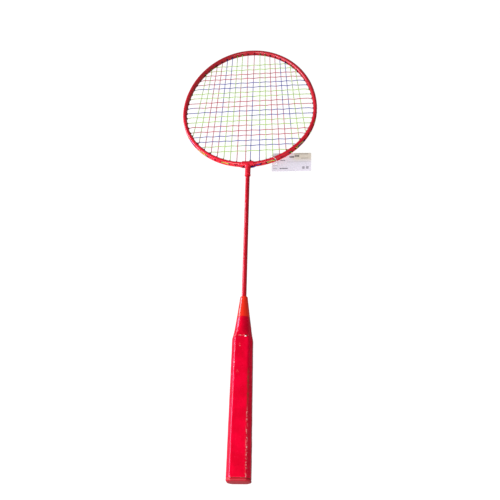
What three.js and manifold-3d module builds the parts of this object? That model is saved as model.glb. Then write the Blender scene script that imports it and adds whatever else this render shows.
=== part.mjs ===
// Badminton racket: an oval steel head, a T-joint, a thin steel shaft and an octagonal grip,
// with a paper price tag that hangs on the head.
//
// Millimetres. The racket lies flat: +Y runs from the butt to the tip of the head, +X is across
// the head, and +Z is square to the strings. The origin is the centre of the butt's end face.

import * as THREE from 'three';
import { mergeVertices } from 'three/addons/utils/BufferGeometryUtils.js';
import Module from 'manifold-3d';

const wasm = await Module();
wasm.setup();

// ---------------------------------------------------------------- driving dimensions

const GAP = 0.3;                    // clearance between pieces that touch on a real racket
const OVERRUN = 5;                  // how far a cutting tool passes the face it cuts

// Head: a grooved oval tube, bent into two half ellipses that meet where the head is widest
const HEAD_LENGTH = 248;
const HEAD_WIDTH = 206;
const THROAT_Y = 422;               // outer edge of the head beside the shaft
const WIDEST_SHARE = 0.458;         // distance from throat to widest place, over the length
const TUBE_HALF_WIDTH = 3.15;       // in the plane of the strings
const TUBE_HALF_HEIGHT = 4;
const TUBE_WALL = 0.7;
const TUBE_ROUNDNESS = 2.4;         // exponent of the section: 2 is an ellipse
const GROOVE_FLOOR = 0.9;           // outward from the tube's centre line
const GROOVE_HALF_WIDTH = 2.6;
const GROOVE_EDGE_ANGLE = 0.68;     // on the section, from straight outward to the groove's lip
const CAVITY_EDGE_ANGLE = 1.3;
const CAVITY_HALF_WIDTH_AT_FLOOR = 3;
const OUTSIDE_SIDES = 9;            // flats round the section's outside, and round its cavity
const CAVITY_SIDES = 5;
const HEAD_SEGMENTS = 40;
const HEAD_END_GAP = 1.2;           // between the two ends of the bent tube

// T-joint
const JOINT_WALL = 0.6;
const JOINT_GAP = 0.5;              // the head's bend makes this fit looser than the others
const JOINT_HALF_WIDTH = 8.4;
const STEM_RADIUS = 3.85;
const STEM_BOTTOM_Y = 404.9;
const COLLAR_RADIUS = 4.2;
const COLLAR_LENGTH = 1.5;

// Shaft
const SHAFT_RADIUS = 2.95;
const SHAFT_WALL = 0.8;
const SHAFT_BOTTOM_Y = 70;
const SHAFT_TOP_Y = 418.5;
const SHAFT_BORE = SHAFT_RADIUS + GAP;

// Strings
const STRING_RADIUS = 0.5;
const STAGGER = 0.65;               // main holes sit this far above the middle, cross holes below
const MAIN_COUNT = 18;
const MAIN_FIRST_X = { far: 5.6, near: 4.9 };
const MAIN_SECOND_X = { far: 15.41, near: 17.24 };
const MAIN_PITCH = { far: 8.63, near: 10.07 };
const CROSS_COUNT = 19;
const CROSS_FIRST_Y = 639.4;
const CROSS_PITCH = 10.65;
const JOINT_HOLE_TILT = 0.17;       // the two holes through the T-joint lean away from the stem
const STRING_TAIL = 2.5;
const STRING_BEND = 0.6;            // radius of a string's bend out of a hole
const LOOP_STEP = 5;                // length of the straight pieces of a loop in the groove
const JOINT_PASS = 3;               // how far a loop goes past the T-joint before it drops

// Grommets
const GROMMET_BORE = 0.93;
const GROMMET_RADIUS = 1.2;
const FLANGE_RADIUS = 1.7;
const FLANGE_THICKNESS = 0.4;
const FLANGE_TAPER = 0.6;
const GROMMET_PROUD = 0.8;          // how far a grommet stands out of the tube's inner side
const JOINT_GROMMET_PROUD = { left: 0.8, right: 3 };   // the right one stands taller
const GROMMET_SIDES = 5;
const DRILL_RADIUS = 1.55;
const DRILL_LENGTH = 20;
const WEB_HALF_WIDTH = 0.35;
const WEB_BELOW_TOP = 0.04;         // the web is a little thinner than the flanges it joins
const WEB_INSET = 1.1;              // from a hole's axis to the end of the web

// Handle
const SLEEVE_WALL = 0.7;
const SLEEVE_BOTTOM_Y = 3.3;
const SLEEVE_CORNER_Y = 156;        // the octagon ends here and the taper to the shaft begins
const SLEEVE_TOP_Y = 184;
const GRIP_HALF_THICKNESS = 11;
const GRIP_HALF_WIDTH_AT_CORNER = 11.9;
const GRIP_HALF_WIDTH_AT_BUTT = 12.9;
const GRIP_CHAMFER_X = 4.4;
const GRIP_CHAMFER_Z = 5;
const CHAMFER_SHRINK = 0.4;         // a chamfer's loss per millimetre that a ring is inset
const CONE_TOP_Y = 212.5;
const CONE_TOP_RADIUS = 4.6;
const CONE_RADIUS_AT_SLEEVE = 8;
const CONE_RADIUS_AT_BASE = 9.2;
const CONE_LAP_GAP = 0.5;           // the sleeve's film is looser here than other fits
const CONE_TOP_EDGE = 0.6;
const CONE_BASE_Y = 160;
const NOSE_TOP_Y = 186;
const NOSE_TOP_RADIUS = 5.5;
const NOSE_BASE_RADIUS = 8.2;
const CORE_BOTTOM_Y = 3.3;
const BORE_BOTTOM_Y = 65;
const BUTT_CAP_THICKNESS = 3;
const BUTT_CAP_EDGE = 0.8;
const PEG_RADIUS = 5;
const PEG_TOP_Y = 12;
const TACK_X = 4.6;
const TACK_Y = 157.3;
const TACK_SEAT_Z = 10.85;          // the film's height there, just above the corner
const TACK_HEAD_RADIUS = 1.3;
const TACK_HEAD_HEIGHT = 0.6;
const TACK_SHANK_RADIUS = 0.5;
const TACK_LENGTH = 6;

// Price tag and the nylon loop that holds it
const TAG_WIDTH = 56;
const TAG_HEIGHT = 34;
const TAG_THICKNESS = 0.4;
const TAG_CORNER_RADIUS = 2;
const TAG_Z = -5.3;
const TAG_CENTRE = new THREE.Vector2(61.9, 431.2);
const TAG_TURN = -0.035;
const TAG_HOLE_RADIUS = 1.7;
const LOOP_RADIUS = 0.4;
const LOOP_SITE_X = 36.1;           // where the loop crosses the tube's centre line
const LOOP_SKEW = 0.44;             // turn of the loop's plane away from square to the tube
const LOOP_CENTRE_OUT = -0.2;
const LOOP_HALF_WIDTH = 5.8;
const LOOP_CENTRE_Z = -0.4;
const LOOP_HALF_HEIGHT = 6;
const LOOP_ROUNDNESS = 3;
const LOOP_SEGMENTS = 20;
const LOOP_SEAM = 0.1;              // where its two halves meet, round from its outer side

// Sizes that follow
const SEMI_X = HEAD_WIDTH / 2 - TUBE_HALF_WIDTH;
const SEMI_NEAR = HEAD_LENGTH * WIDEST_SHARE - TUBE_HALF_WIDTH;
const SEMI_FAR = HEAD_LENGTH * (1 - WIDEST_SHARE) - TUBE_HALF_WIDTH;
const WIDEST_Y = THROAT_Y + HEAD_LENGTH * WIDEST_SHARE;
const THROAT_ANGLE = -Math.PI / 2;
const JOINT_SKIN = TUBE_HALF_WIDTH + JOINT_GAP + JOINT_WALL;

const UP = new THREE.Vector3(0, 0, 1);
const racket = new THREE.Group();

// ---------------------------------------------------------------- materials

const FINISHES = {
  red_paint: { color: '#d42c37', roughness: 0.3, metalness: 0.2 },
  nylon_black: { color: '#16161a', roughness: 0.5, metalness: 0 },
  orange_plastic: { color: '#da3e31', roughness: 0.4, metalness: 0 },
  crimson_vinyl: { color: '#e00c34', roughness: 0.35, metalness: 0 },
  bare_wood: { color: '#c79a63', roughness: 0.8, metalness: 0 },
  lime_nylon: { color: '#b9e182', roughness: 0.45, metalness: 0 },
  tack_steel: { color: '#c9c9c9', roughness: 0.3, metalness: 0.9 },
  tag_card: { color: '#eceaf2', roughness: 0.8, metalness: 0 },
  clear_nylon: { color: '#f2ece6', roughness: 0.4, metalness: 0 },
};

// ---------------------------------------------------------------- solids

function solid(geometry) {
  const bare = geometry.index ? geometry.toNonIndexed() : geometry.clone();
  bare.deleteAttribute('normal');
  bare.deleteAttribute('uv');
  const merged = mergeVertices(bare, 1e-4);
  return new wasm.Manifold(new wasm.Mesh({
    numProp: 3,
    vertProperties: new Float32Array(merged.attributes.position.array),
    triVerts: new Uint32Array(merged.index.array),
  }));
}

function addPart(name, shape, finish) {
  const mesh = shape.getMesh();
  const geometry = new THREE.BufferGeometry();
  geometry.setAttribute('position', new THREE.BufferAttribute(mesh.vertProperties, 3));
  geometry.setIndex(new THREE.BufferAttribute(mesh.triVerts, 1));
  geometry.computeVertexNormals();
  const part = new THREE.Mesh(geometry, new THREE.MeshStandardMaterial(FINISHES[finish]));
  part.name = name;
  racket.add(part);
}

// A solid of revolution about the Y axis, from [radius, y] pairs that close on themselves
function turned(profile, sides) {
  const points = [...profile, profile[0]].map(([radius, y]) => new THREE.Vector2(radius, y));
  return new THREE.LatheGeometry(points, sides);
}

function rod(radius, bottomY, topY, sides = 16) {
  const geometry = new THREE.CylinderGeometry(radius, radius, topY - bottomY, sides);
  geometry.translate(0, (topY + bottomY) / 2, 0);
  return geometry;
}

// A closed skin over rings of points, one ring after the other, with a fan at each end
function loft(rings) {
  const count = rings[0].length;
  const points = rings.flat();
  const faces = [];
  for (let r = 0; r < rings.length - 1; r++) {
    for (let i = 0; i < count; i++) {
      const a = r * count + i;
      const b = r * count + (i + 1) % count;
      faces.push(a, a + count, b, b, a + count, b + count);
    }
  }
  const last = (rings.length - 1) * count;
  for (let i = 1; i < count - 1; i++) {
    faces.push(0, i, i + 1);
    faces.push(last, last + i + 1, last + i);
  }
  const geometry = new THREE.BufferGeometry().setFromPoints(points);
  geometry.setIndex(faces);
  return geometry;
}

// Sweeps a shape along a path: the shape's x runs along -Z and its y towards the head's inside
function sweep(shape, path, steps) {
  return new THREE.ExtrudeGeometry(shape, { extrudePath: path, steps });
}

// A path through given points; a sweep takes one step from each point to the next
class PointPath extends THREE.Curve {
  constructor(points) {
    super();
    this.points = points;
  }

  getPointAt(share) {
    return this.points[Math.round(share * (this.points.length - 1))].clone();
  }

  getTangentAt(share) {
    const i = Math.round(share * (this.points.length - 1));
    const here = this.points[i];
    const before = this.points[i - 1];
    const after = this.points[i + 1];
    const tangent = new THREE.Vector3();
    if (before) tangent.add(here.clone().sub(before).normalize());
    if (after) tangent.add(after.clone().sub(here).normalize());
    return tangent.normalize();
  }
}

function disc(radius, sides) {
  const shape = new THREE.Shape();
  shape.absarc(0, 0, radius, 0, 2 * Math.PI);
  return new THREE.Shape(shape.getSpacedPoints(sides).slice(0, sides));
}

function cord(points, radius, sides = 5) {
  const path = new PointPath(points);
  return new THREE.ExtrudeGeometry(disc(radius, sides), {
    extrudePath: path, steps: points.length - 1,
  });
}

// ---------------------------------------------------------------- the head's centre line

function headNormal(angle) {
  const semiY = Math.sin(angle) < 0 ? SEMI_NEAR : SEMI_FAR;
  return new THREE.Vector3(Math.cos(angle) / SEMI_X, Math.sin(angle) / semiY, 0).normalize();
}

function headPoint(angle, outward = 0, z = 0) {
  const semiY = Math.sin(angle) < 0 ? SEMI_NEAR : SEMI_FAR;
  const onLine = new THREE.Vector3(
    SEMI_X * Math.cos(angle), WIDEST_Y + semiY * Math.sin(angle), z);
  return onLine.addScaledVector(headNormal(angle), outward);
}

function millimetresPerRadian(angle) {
  const semiY = Math.sin(angle) < 0 ? SEMI_NEAR : SEMI_FAR;
  return Math.hypot(SEMI_X * Math.sin(angle), semiY * Math.cos(angle));
}

class HeadPath extends THREE.Curve {
  constructor(startAngle, endAngle) {
    super();
    this.startAngle = startAngle;
    this.endAngle = endAngle;
  }

  getPoint(share) {
    return headPoint(THREE.MathUtils.lerp(this.startAngle, this.endAngle, share));
  }
}

// ---------------------------------------------------------------- head frame

// Half of a section is a superellipse: x is along Z and y is inward. A groove closes the
// outward side between the two ends of the arc when there is one.
function tubeSection({ halfWidth, halfHeight, edgeAngle = 0, floor, floorHalf, steps }) {
  const points = [];
  const power = 2 / TUBE_ROUNDNESS;
  const full = edgeAngle === 0;
  for (let i = 0; i < steps + (full ? 0 : 1); i++) {
    const angle = edgeAngle + (2 * Math.PI - 2 * edgeAngle) * i / steps;
    const outward = Math.cos(angle);
    const up = Math.sin(angle);
    points.push(new THREE.Vector2(
      halfHeight * Math.sign(up) * Math.abs(up) ** power,
      -halfWidth * Math.sign(outward) * Math.abs(outward) ** power));
  }
  if (!full) {
    points.push(new THREE.Vector2(-floorHalf, -floor));
    points.push(new THREE.Vector2(floorHalf, -floor));
  }
  return new THREE.Shape(points);
}

function drill(hole) {
  const bit = new THREE.CylinderGeometry(
    DRILL_RADIUS, DRILL_RADIUS, DRILL_LENGTH, GROMMET_SIDES);
  return solid(bit.applyMatrix4(hole.place));
}

function makeHeadFrame(bits) {
  const halfGap = HEAD_END_GAP / 2 / SEMI_X;
  const path = new HeadPath(THROAT_ANGLE + halfGap, THROAT_ANGLE + 2 * Math.PI - halfGap);
  const section = tubeSection({
    halfWidth: TUBE_HALF_WIDTH,
    halfHeight: TUBE_HALF_HEIGHT,
    edgeAngle: GROOVE_EDGE_ANGLE,
    floor: GROOVE_FLOOR,
    floorHalf: GROOVE_HALF_WIDTH,
    steps: OUTSIDE_SIDES,
  });
  section.holes.push(tubeSection({
    halfWidth: TUBE_HALF_WIDTH - TUBE_WALL,
    halfHeight: TUBE_HALF_HEIGHT - TUBE_WALL,
    edgeAngle: CAVITY_EDGE_ANGLE,
    floor: GROOVE_FLOOR - TUBE_WALL,
    floorHalf: CAVITY_HALF_WIDTH_AT_FLOOR,
    steps: CAVITY_SIDES,
  }));
  return solid(sweep(section, path, HEAD_SEGMENTS)).subtract(bits);
}

// ---------------------------------------------------------------- T-joint

function makeTJoint(bits) {
  const reach = Math.asin(JOINT_HALF_WIDTH / SEMI_X);
  const armPath = new HeadPath(THROAT_ANGLE - reach, THROAT_ANGLE + reach);
  const past = reach + OVERRUN / SEMI_X;
  const borePath = new HeadPath(THROAT_ANGLE - past, THROAT_ANGLE + past);
  const grow = (extra) => tubeSection({
    halfWidth: TUBE_HALF_WIDTH + extra, halfHeight: TUBE_HALF_HEIGHT + extra, steps: 18,
  });
  const arms = solid(sweep(grow(JOINT_GAP + JOINT_WALL), armPath, 4));
  const armBore = solid(sweep(grow(JOINT_GAP), borePath, 6));
  const stemTop = THROAT_Y + TUBE_HALF_WIDTH;
  const stem = solid(rod(STEM_RADIUS, STEM_BOTTOM_Y, stemTop));
  const collar = solid(rod(COLLAR_RADIUS, STEM_BOTTOM_Y, STEM_BOTTOM_Y + COLLAR_LENGTH));
  const stemBore = solid(rod(SHAFT_BORE, STEM_BOTTOM_Y - OVERRUN, SHAFT_TOP_Y + GAP));
  return arms.add(stem).add(collar).subtract(armBore).subtract(stemBore).subtract(bits);
}

// ---------------------------------------------------------------- string holes

// A hole's own frame has its origin on the tube's centre line, +Y outward and Z upright
function makeHole(angle, z, tilt = 0) {
  const inJoint = tilt !== 0;
  const centre = headPoint(angle, 0, z);
  const axis = headNormal(angle).applyAxisAngle(UP, tilt);
  const place = new THREE.Matrix4().makeBasis(axis.clone().cross(UP), axis, UP);
  place.setPosition(centre);
  const seat = (inJoint ? JOINT_SKIN : GROOVE_FLOOR) + GAP;
  const jointProud = JOINT_GROMMET_PROUD[tilt < 0 ? 'left' : 'right'];
  const innerEnd = inJoint ? -JOINT_SKIN - jointProud : -TUBE_HALF_WIDTH - GROMMET_PROUD;
  return { angle, z, place, inJoint, seat, innerEnd };
}

function along(hole, distance, sideways = 0) {
  return new THREE.Vector3(sideways, distance, 0).applyMatrix4(hole.place);
}

function mirrored(angle) {
  return Math.PI - angle;
}

function mainHole(index, end) {
  const fromAxis = index < MAIN_COUNT / 2 ? MAIN_COUNT / 2 - 1 - index : index - MAIN_COUNT / 2;
  const side = index < MAIN_COUNT / 2 ? -1 : 1;
  const x = fromAxis === 0
    ? MAIN_FIRST_X[end]
    : MAIN_SECOND_X[end] + MAIN_PITCH[end] * (fromAxis - 1);
  const right = (end === 'far' ? 1 : -1) * Math.acos(x / SEMI_X);
  const tilt = end === 'near' && fromAxis === 0 ? side * JOINT_HOLE_TILT : 0;
  return makeHole(side < 0 ? mirrored(right) : right, STAGGER, tilt);
}

function crossHole(index, side) {
  const y = CROSS_FIRST_Y - CROSS_PITCH * index;
  const semiY = y < WIDEST_Y ? SEMI_NEAR : SEMI_FAR;
  const right = Math.asin((y - WIDEST_Y) / semiY);
  return makeHole(side < 0 ? mirrored(right) : right, -STAGGER);
}

// ---------------------------------------------------------------- strings

function loopHeight(hole) {
  return hole.seat + FLANGE_THICKNESS + GAP + STRING_RADIUS;
}

function nearestTurn(from, to) {
  const turn = 2 * Math.PI;
  return from + THREE.MathUtils.euclideanModulo(to - from + Math.PI, turn) - Math.PI;
}

// The loop outside the frame, from one hole to the next. It stays above the T-joint's skin
// until it has passed the joint's end.
function outsideLoop(from, to) {
  const endAngle = nearestTurn(from.angle, to.angle);
  const way = Math.sign(endAngle - from.angle);
  const corner = (hole, sideways) => [
    along(hole, loopHeight(hole), sideways),
    along(hole, loopHeight(hole) - STRING_BEND),
  ];
  const length = headPoint(from.angle).distanceTo(headPoint(endAngle));
  const pieces = Math.max(2, Math.round(length / LOOP_STEP) + 1);
  const middle = [];
  for (let i = 1; i < pieces; i++) {
    const angle = THREE.MathUtils.lerp(from.angle, endAngle, i / pieces);
    const nearJoint = Math.abs(headPoint(angle).x) < JOINT_HALF_WIDTH + JOINT_PASS;
    const joint = [from, to].find((hole) => hole.inJoint);
    const height = loopHeight(nearJoint && joint ? joint : [from, to].find((h) => !h.inJoint));
    middle.push(headPoint(angle, height, from.z));
  }
  return [
    ...corner(from, -way * STRING_BEND).reverse(),
    ...middle,
    ...corner(to, way * STRING_BEND),
  ];
}

// One string runs hole to hole: rows is a list of [first hole, second hole], end after end
function stringPoints(rows) {
  const mouth = (hole) => along(hole, hole.innerEnd - 2 * STRING_RADIUS);
  const tail = (hole) => along(hole, loopHeight(hole) + STRING_TAIL);
  const points = [tail(rows[0][0])];
  rows.forEach(([first, second], i) => {
    points.push(mouth(first), mouth(second));
    if (rows[i + 1]) points.push(...outsideLoop(second, rows[i + 1][0]));
  });
  points.push(tail(rows.at(-1)[1]));
  return points;
}

function makeString(rows) {
  return solid(cord(stringPoints(rows), STRING_RADIUS));
}

// ---------------------------------------------------------------- grommets

function grommet(hole) {
  const top = hole.seat + FLANGE_THICKNESS;
  const body = turned([
    [GROMMET_BORE, hole.innerEnd],
    [GROMMET_RADIUS, hole.innerEnd],
    [GROMMET_RADIUS, top - FLANGE_TAPER],
    [FLANGE_RADIUS, top],
    [GROMMET_BORE, top],
  ], GROMMET_SIDES);
  return solid(body.applyMatrix4(hole.place));
}

// Two grommets moulded together: a thin web joins their flanges along the groove
function grommetPair(first, second) {
  const low = first.seat + WEB_BELOW_TOP;
  const high = first.seat + FLANGE_THICKNESS - WEB_BELOW_TOP;
  const strip = new THREE.Shape([
    new THREE.Vector2(-WEB_HALF_WIDTH, -high),
    new THREE.Vector2(WEB_HALF_WIDTH, -high),
    new THREE.Vector2(WEB_HALF_WIDTH, -low),
    new THREE.Vector2(-WEB_HALF_WIDTH, -low),
  ]);
  const inset = (hole) => WEB_INSET / millimetresPerRadian(hole.angle);
  const path = new HeadPath(
    first.angle + inset(first), nearestTurn(first.angle, second.angle) - inset(second));
  const web = solid(sweep(strip, path, 1));
  return grommet(first).add(grommet(second)).add(web);
}

// ---------------------------------------------------------------- handle

// Eight corners and eight points in the middle of the facets, anticlockwise seen from the head
function gripRing(y, inset) {
  const share = (y - SLEEVE_BOTTOM_Y) / (SLEEVE_CORNER_Y - SLEEVE_BOTTOM_Y);
  const halfWidth = THREE.MathUtils.lerp(
    GRIP_HALF_WIDTH_AT_BUTT, GRIP_HALF_WIDTH_AT_CORNER, share) - inset;
  const halfThick = GRIP_HALF_THICKNESS - inset;
  const flatX = halfWidth - GRIP_CHAMFER_X + inset * CHAMFER_SHRINK;
  const flatZ = halfThick - GRIP_CHAMFER_Z + inset * CHAMFER_SHRINK;
  const corners = [
    [halfWidth, -flatZ], [halfWidth, flatZ], [flatX, halfThick], [-flatX, halfThick],
    [-halfWidth, flatZ], [-halfWidth, -flatZ], [-flatX, -halfThick], [flatX, -halfThick],
  ];
  return corners.flatMap(([x, z], i) => {
    const [nextX, nextZ] = corners[(i + 1) % corners.length];
    return [new THREE.Vector3(x, y, z), new THREE.Vector3((x + nextX) / 2, y, (z + nextZ) / 2)];
  });
}

// The grip ring's directions on a circle
function roundRing(y, radius) {
  return gripRing(SLEEVE_CORNER_Y, 0).map((point) => {
    const length = Math.hypot(point.x, point.z);
    return new THREE.Vector3(point.x * radius / length, y, point.z * radius / length);
  });
}

function makeGripSleeve(tackHole) {
  const inner = SLEEVE_WALL;
  const topBore = CONE_RADIUS_AT_SLEEVE - SLEEVE_WALL;
  const outside = loft([
    gripRing(SLEEVE_BOTTOM_Y, 0), gripRing(SLEEVE_CORNER_Y, 0),
    roundRing(SLEEVE_TOP_Y, CONE_RADIUS_AT_SLEEVE),
  ]);
  const bore = loft([
    gripRing(SLEEVE_BOTTOM_Y - OVERRUN, inner), gripRing(SLEEVE_CORNER_Y, inner),
    roundRing(SLEEVE_TOP_Y, topBore), roundRing(SLEEVE_TOP_Y + OVERRUN, topBore),
  ]);
  return solid(outside).subtract(solid(bore)).subtract(tackHole);
}

function makeHandleCore(tackHole) {
  const inset = SLEEVE_WALL + GAP;
  const block = solid(loft([gripRing(CORE_BOTTOM_Y, inset), gripRing(SLEEVE_CORNER_Y, inset)]));
  const nose = solid(turned([
    [0, SLEEVE_CORNER_Y - 1], [NOSE_BASE_RADIUS, SLEEVE_CORNER_Y - 1],
    [NOSE_BASE_RADIUS, SLEEVE_CORNER_Y], [NOSE_TOP_RADIUS, NOSE_TOP_Y], [0, NOSE_TOP_Y],
  ], 24));
  const shaftBore = solid(rod(SHAFT_BORE, BORE_BOTTOM_Y, NOSE_TOP_Y + OVERRUN));
  const pegBore = solid(rod(PEG_RADIUS + GAP, CORE_BOTTOM_Y - OVERRUN, PEG_TOP_Y + GAP));
  return block.add(nose).subtract(shaftBore).subtract(pegBore).subtract(tackHole);
}

// A hollow cone over the core's nose, with a rebate where the sleeve laps over it
function makeConeCap() {
  const rebate = SLEEVE_TOP_Y + GAP;
  const lapRadius = CONE_RADIUS_AT_SLEEVE - SLEEVE_WALL - CONE_LAP_GAP;
  return solid(turned([
    [SHAFT_BORE, CONE_TOP_Y],
    [SHAFT_BORE, NOSE_TOP_Y + GAP],
    [NOSE_TOP_RADIUS + GAP, NOSE_TOP_Y + GAP],
    [NOSE_BASE_RADIUS + GAP, CONE_BASE_Y],
    [CONE_RADIUS_AT_BASE, CONE_BASE_Y],
    [lapRadius, rebate],
    [CONE_RADIUS_AT_SLEEVE, rebate],
    [CONE_TOP_RADIUS, CONE_TOP_Y - CONE_TOP_EDGE],
    [CONE_TOP_RADIUS - CONE_TOP_EDGE, CONE_TOP_Y],
  ], 24));
}

function makeButtCap() {
  const plate = solid(loft([
    gripRing(0, BUTT_CAP_EDGE), gripRing(BUTT_CAP_EDGE, 0), gripRing(BUTT_CAP_THICKNESS, 0),
  ]));
  const peg = solid(rod(PEG_RADIUS, BUTT_CAP_THICKNESS - 1, PEG_TOP_Y));
  return plate.add(peg);
}

// The tack stands on the grip's upper facet, so its axis is turned from Y to Z
function atTack(geometry) {
  return solid(geometry.rotateX(Math.PI / 2).translate(TACK_X, TACK_Y, TACK_SEAT_Z));
}

function makeTack() {
  return atTack(turned([
    [0, -TACK_LENGTH],
    [TACK_SHANK_RADIUS, -TACK_LENGTH + 1],
    [TACK_SHANK_RADIUS, GAP],
    [TACK_HEAD_RADIUS, GAP],
    [TACK_HEAD_RADIUS * 0.7, GAP + TACK_HEAD_HEIGHT],
    [0, GAP + TACK_HEAD_HEIGHT],
  ], 12));
}

function makeTackHole() {
  return atTack(rod(TACK_SHANK_RADIUS + GAP, -TACK_LENGTH - GAP, OVERRUN, 12));
}

// ---------------------------------------------------------------- price tag and loop

const loopSite = headPoint(-Math.acos(LOOP_SITE_X / SEMI_X));
const loopAcross = headNormal(-Math.acos(LOOP_SITE_X / SEMI_X)).applyAxisAngle(UP, LOOP_SKEW);

// A point of the loop at a turn of its superellipse: 0 is outside the head, a quarter is up
function loopPoint(turn) {
  const power = 2 / LOOP_ROUNDNESS;
  const across = Math.cos(turn);
  const up = Math.sin(turn);
  const out = LOOP_CENTRE_OUT + LOOP_HALF_WIDTH * Math.sign(across) * Math.abs(across) ** power;
  const z = LOOP_CENTRE_Z + LOOP_HALF_HEIGHT * Math.sign(up) * Math.abs(up) ** power;
  return loopSite.clone().addScaledVector(loopAcross, out).setZ(z);
}

// The place where the loop's outer side passes down through the tag
function tagHoleCentre() {
  const drop = (TAG_Z - LOOP_CENTRE_Z) / LOOP_HALF_HEIGHT;
  return loopPoint(-Math.asin(Math.abs(drop) ** (LOOP_ROUNDNESS / 2)));
}

// A ring can't be swept shut, so it is two halves whose ends run a little into each other
function makeTagLoop() {
  const half = (start) => {
    const points = [];
    for (let i = -1; i <= LOOP_SEGMENTS / 2; i++) {
      points.push(loopPoint(start + 2 * Math.PI * i / LOOP_SEGMENTS));
    }
    return solid(cord(points, LOOP_RADIUS));
  };
  return half(LOOP_SEAM).add(half(LOOP_SEAM + Math.PI));
}

function roundedRectangle(width, height, radius) {
  const x = width / 2 - radius;
  const y = height / 2 - radius;
  const quarter = Math.PI / 2;
  const shape = new THREE.Shape();
  shape.absarc(x, y, radius, 0, quarter);
  shape.absarc(-x, y, radius, quarter, 2 * quarter);
  shape.absarc(-x, -y, radius, 2 * quarter, 3 * quarter);
  shape.absarc(x, -y, radius, 3 * quarter, 4 * quarter);
  return shape;
}

function makePriceTag() {
  const card = new THREE.ExtrudeGeometry(
    roundedRectangle(TAG_WIDTH, TAG_HEIGHT, TAG_CORNER_RADIUS),
    { depth: TAG_THICKNESS, bevelEnabled: false, curveSegments: 4 });
  card.rotateZ(TAG_TURN).translate(TAG_CENTRE.x, TAG_CENTRE.y, TAG_Z - TAG_THICKNESS / 2);
  const centre = tagHoleCentre();
  const punch = new THREE.CylinderGeometry(TAG_HOLE_RADIUS, TAG_HOLE_RADIUS, OVERRUN, 16);
  punch.rotateX(Math.PI / 2).translate(centre.x, centre.y, TAG_Z);
  return solid(card).subtract(solid(punch));
}

// ---------------------------------------------------------------- assembly

const mains = [...Array(MAIN_COUNT).keys()].map((i) => (
  { near: mainHole(i, 'near'), far: mainHole(i, 'far') }));
const crosses = [...Array(CROSS_COUNT).keys()].map((i) => (
  { left: crossHole(i, -1), right: crossHole(i, 1) }));
const holes = [
  ...mains.flatMap(({ near, far }) => [near, far]),
  ...crosses.flatMap(({ left, right }) => [left, right]),
];

const allBits = holes.map(drill).reduce((sum, bit) => sum.add(bit));
const jointBits = holes.filter((hole) => hole.inJoint).map(drill).reduce((a, b) => a.add(b));
addPart('head_frame', makeHeadFrame(allBits), 'red_paint');
addPart('t_joint', makeTJoint(jointBits), 'red_paint');
addPart('shaft', solid(turned([
  [SHAFT_RADIUS - SHAFT_WALL, SHAFT_BOTTOM_Y], [SHAFT_RADIUS, SHAFT_BOTTOM_Y],
  [SHAFT_RADIUS, SHAFT_TOP_Y], [SHAFT_RADIUS - SHAFT_WALL, SHAFT_TOP_Y],
], 24)), 'red_paint');

addPart('cone_cap', makeConeCap(), 'orange_plastic');
addPart('handle_core', makeHandleCore(makeTackHole()), 'bare_wood');
addPart('grip_sleeve', makeGripSleeve(makeTackHole()), 'crimson_vinyl');
addPart('butt_cap', makeButtCap(), 'crimson_vinyl');
addPart('grip_tack', makeTack(), 'tack_steel');

// Main strings run up and down in turn, from the left. Cross strings run right and left in
// turn, from the tip of the head.
addPart('main_string', makeString(mains.map(({ near, far }, i) => (
  i % 2 === 0 ? [near, far] : [far, near]))), 'lime_nylon');
addPart('cross_string', makeString(crosses.map(({ left, right }, i) => (
  i % 2 === 0 ? [left, right] : [right, left]))), 'lime_nylon');

// Grommets: one alone in each side of the T-joint, and the others in pairs up each side
for (const [side, sign] of [['left', -1], ['right', 1]]) {
  const turnFromThroat = (hole) => (
    sign * (nearestTurn(THROAT_ANGLE, hole.angle) - THROAT_ANGLE));
  const onSide = holes.filter((hole) => sign * headPoint(hole.angle).x > 0);
  onSide.sort((a, b) => turnFromThroat(a) - turnFromThroat(b));
  addPart(`joint_grommet_${side}`, grommet(onSide[0]), 'nylon_black');
  for (let i = 1; i < onSide.length; i += 2) {
    const pair = sign > 0 ? [onSide[i], onSide[i + 1]] : [onSide[i + 1], onSide[i]];
    const number = String((i + 1) / 2).padStart(2, '0');
    addPart(`grommet_pair_${side}_${number}`, grommetPair(...pair), 'nylon_black');
  }
}

addPart('price_tag', makePriceTag(), 'tag_card');
addPart('tag_loop', makeTagLoop(), 'clear_nylon');

export default racket;
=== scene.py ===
"""Looks of the badminton racket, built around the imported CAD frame.

The racket lies flat in the CAD frame: +Y runs from the butt to the tip of the head, +X is
across the head and +Z is square to the strings. Lengths here are in millimetres until a mesh
is made, and every mesh is in metres.
"""

import math

import bmesh
import bpy
import numpy as np
from mathutils import Matrix, Vector


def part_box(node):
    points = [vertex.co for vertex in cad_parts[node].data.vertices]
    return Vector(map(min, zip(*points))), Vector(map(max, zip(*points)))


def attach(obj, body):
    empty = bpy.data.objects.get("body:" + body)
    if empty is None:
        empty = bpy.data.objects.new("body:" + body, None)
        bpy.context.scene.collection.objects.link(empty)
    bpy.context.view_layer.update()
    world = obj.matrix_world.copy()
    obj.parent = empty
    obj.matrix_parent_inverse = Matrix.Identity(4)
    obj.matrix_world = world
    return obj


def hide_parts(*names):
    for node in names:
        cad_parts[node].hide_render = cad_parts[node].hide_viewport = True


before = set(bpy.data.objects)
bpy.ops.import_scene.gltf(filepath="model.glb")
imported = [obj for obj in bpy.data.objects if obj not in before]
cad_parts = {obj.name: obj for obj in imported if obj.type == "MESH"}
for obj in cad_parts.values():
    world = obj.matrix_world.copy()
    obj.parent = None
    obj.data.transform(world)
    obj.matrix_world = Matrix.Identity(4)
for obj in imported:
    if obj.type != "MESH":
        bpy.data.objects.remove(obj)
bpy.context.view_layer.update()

MM = 0.001
UP = np.array([0.0, 0.0, 1.0])
chance = np.random.default_rng(7)


# ------ sizes from the frame

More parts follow.
